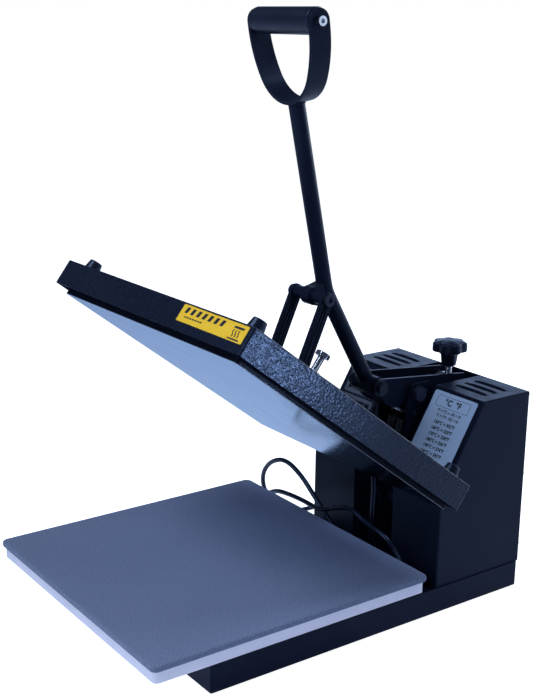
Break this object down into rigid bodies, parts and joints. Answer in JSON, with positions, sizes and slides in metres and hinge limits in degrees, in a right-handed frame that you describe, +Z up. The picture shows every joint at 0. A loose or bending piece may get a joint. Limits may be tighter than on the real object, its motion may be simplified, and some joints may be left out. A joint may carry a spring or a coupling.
{
  "type": "heat press",
  "caption": "Clamshell heat press: square heated platen on a toggle lever with D grip over a padded lower platen, twin control boxes behind.",
  "frame": {"origin": "middle of the footprint, on the table under the feet", "axes": "+X to the operator's right, +Y to the back of the press, +Z up; the upper platen is stored open"},
  "size_m": [0.4657, 0.737, 0.7513],
  "materials": {
    "powder_black": "satin black powder coat",
    "hammered_black": "hammered black paint",
    "rubber_black": "matt rubber",
    "cord_black": "smooth PVC sheath",
    "plastic_black": "moulded, fine grain",
    "bright_steel": "zinc plated",
    "spring_steel": "drawn spring wire",
    "platen_aluminium": "pale milled edge",
    "silicone_grey": "matt blue-grey silicone foam",
    "nonstick_plate": "smooth non-stick coating on aluminium",
    "label_silver": "brushed label plate",
    "label_yellow": "printed plate",
    "display_dark": "tinted window",
    "button_grey": "key cap",
    "switch_red": "translucent rocker",
    "board_green": "circuit board",
    "relay_grey": "moulded block on a heat sink",
    "blanket_white": "ceramic fibre blanket"
  },
  "bodies": {
    "root": {"base_frame": "powder_black", "platen_rails": "powder_black", "tower_foot_plate": "powder_black", "tower_plates": "powder_black", "left_box_shell": "powder_black", "right_box_shell": "powder_black", "rear_panel": "powder_black", "rubber_feet": "rubber_black", "cord_strain_relief": "rubber_black", "heater_lead": "rubber_black", "mains_cord": "cord_black", "mains_plug": "cord_black", "power_switch_body": "plastic_black", "fuse_holder": "plastic_black", "base_bolts": "bright_steel", "thrust_block": "bright_steel", "hinge_pin": "bright_steel", "rocker_pivot_bolt": "bright_steel", "spring_post": "bright_steel", "rear_panel_screws": "bright_steel", "platen_springs": "spring_steel", "lower_platen": "platen_aluminium", "silicone_mat": "silicone_grey", "conversion_plate": "label_silver", "controller_bezel": "label_silver", "display_window": "display_dark", "control_board": "board_green", "solid_state_relay": "relay_grey"},
    "platen": {"heating_plate": "nonstick_plate", "heating_element": "bright_steel", "insulation_blanket": "blanket_white", "plate_studs": "bright_steel", "platen_cover": "hammered_black", "cover_caps": "plastic_black", "warning_plate": "label_yellow", "carrier_base": "powder_black", "carrier_bolts": "bright_steel", "carrier_arms": "powder_black", "stop_bolt": "bright_steel", "hinge_tube": "powder_black", "carrier_pins": "bright_steel", "lead_gland": "plastic_black"},
    "lever": {"lever_tube": "powder_black", "pivot_barrel": "powder_black", "lever_lug": "powder_black", "cross_tube": "powder_black", "grip_strap": "powder_black", "grip_sleeve": "plastic_black", "grip_bolts": "bright_steel"},
    "links": {"pressure_links": "powder_black", "link_bolts": "bright_steel"},
    "rocker": {"rocker_channel": "powder_black", "lever_pivot_bolt": "bright_steel", "trunnion_nut": "bright_steel"},
    "knob": {"knob_head": "plastic_black", "knob_rod": "bright_steel"},
    "set_button": {"button_set": "button_grey"},
    "minus_button": {"button_minus": "button_grey"},
    "plus_button": {"button_plus": "button_grey"},
    "power_rocker": {"power_switch_rocker": "switch_red"}
  },
  "joints": [
    {"name": "platen_hinge", "type": "hinge", "parent": "root", "child": "platen", "pos_m": [0, 0.20185, 0.1043], "axis": [1, 0, 0], "range_deg": [0, 37.2], "stiffness_Nm_per_rad": 15, "springref_deg": -177.62, "deforming": ["platen_springs", "heater_lead"]},
    {"name": "link_pivot", "type": "hinge", "parent": "platen", "child": "links", "pos_m": [0, -0.00358, 0.32125], "axis": [1, 0, 0], "range_deg": [-74.5, 0.1]},
    {"name": "rocker_tilt", "type": "hinge", "parent": "root", "child": "rocker", "pos_m": [0, 0.19255, 0.265], "axis": [1, 0, 0], "range_deg": [-1.03, 1.03]},
    {"name": "lever_pivot", "type": "hinge", "parent": "rocker", "child": "lever", "pos_m": [0, 0.13255, 0.28], "axis": [1, 0, 0], "range_deg": [-0.1, 83]},
    {"name": "knob_turn", "type": "hinge", "parent": "root", "child": "knob", "pos_m": [0, 0.27655, 0.3], "axis": [0, 0, 1], "range_deg": [-360, 360]},
    {"name": "power_switch", "type": "hinge", "parent": "root", "child": "power_rocker", "pos_m": [0.095, 0.29255, 0.08], "axis": [1, 0, 0], "range_deg": [0, 16]},
    {"name": "set_button_press", "type": "slide", "parent": "root", "child": "set_button", "axis": [0, 0.8576, -0.5143], "range_m": [0, 0.0015], "stiffness_N_per_m": 600, "springref_m": -0.002},
    {"name": "minus_button_press", "type": "slide", "parent": "root", "child": "minus_button", "axis": [0, 0.8576, -0.5143], "range_m": [0, 0.0015], "stiffness_N_per_m": 600, "springref_m": -0.002},
    {"name": "plus_button_press", "type": "slide", "parent": "root", "child": "plus_button", "axis": [0, 0.8576, -0.5143], "range_m": [0, 0.0015], "stiffness_N_per_m": 600, "springref_m": -0.002}
  ],
  "couplings": [
    {"joint": "lever_pivot", "follows": "platen_hinge", "ratio": 2.2231},
    {"joint": "link_pivot", "follows": "platen_hinge", "ratio": -1.9919},
    {"joint": "rocker_tilt", "follows": "knob_turn", "ratio": -0.002842}
  ]
}
